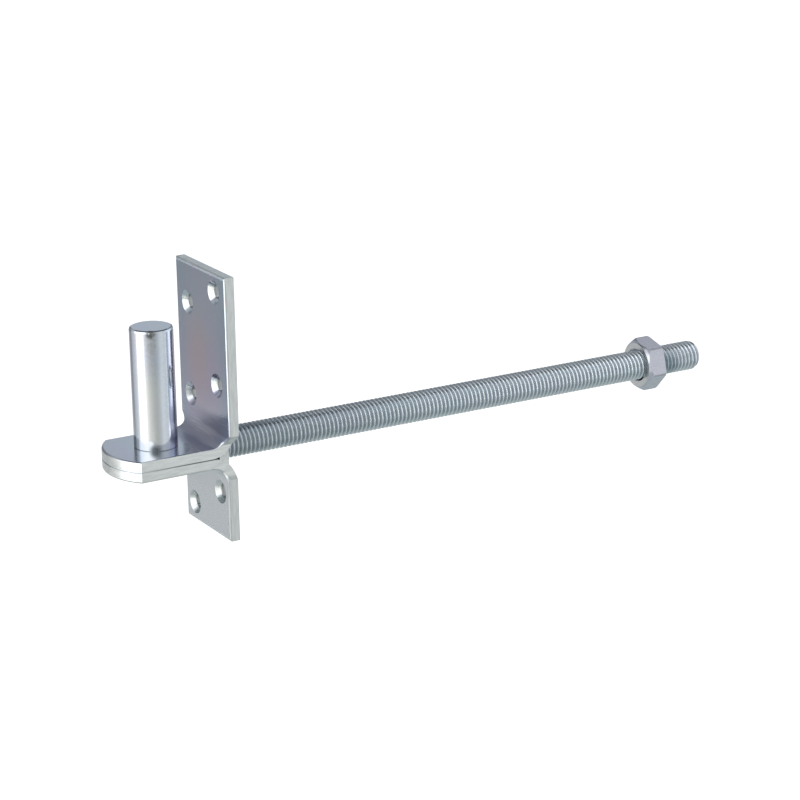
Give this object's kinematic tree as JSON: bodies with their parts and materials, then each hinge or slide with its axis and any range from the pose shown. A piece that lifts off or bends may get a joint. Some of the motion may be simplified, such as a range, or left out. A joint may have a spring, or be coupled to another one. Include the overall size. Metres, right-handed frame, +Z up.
{
  "type": "screw-in gate hinge",
  "caption": "Screw-in gate hinge: an upright pin on folded screw plates, welded to a long threaded rod that goes through a post and takes a nut.",
  "frame": {"origin": "on the hinge pin's axis, at the top of the upper plate's tongue, where the gate's eye rests", "axes": "+Z up along the hinge pin; +X along the threaded rod, away from the plates and into the post; +Y across the plates"},
  "size_m": [0.261, 0.04, 0.1],
  "materials": {
    "upper_plate_zinc": "bright zinc plate with a blue passivation, semi-gloss",
    "lower_plate_zinc": "bright zinc plate with a blue passivation, semi-gloss",
    "pin_zinc": "zinc plate over a drawn bar, glossy",
    "rod_zinc": "zinc plate over a rolled thread, semi-gloss",
    "weld_zinc": "zinc plate over rough weld metal, matt",
    "nut_zinc": "zinc plate with a blue passivation, semi-gloss"
  },
  "bodies": {
    "hinge": {"upper_plate": "upper_plate_zinc", "lower_plate": "lower_plate_zinc", "hinge_pin": "pin_zinc", "threaded_rod": "rod_zinc", "rod_weld": "weld_zinc"},
    "nut": {"hex_nut": "nut_zinc"}
  },
  "joints": [
    {"name": "nut_travel", "type": "slide", "parent": "hinge", "child": "nut", "axis": [1, 0, 0], "range_m": [-0.1885, 0.0207]}
  ]
}
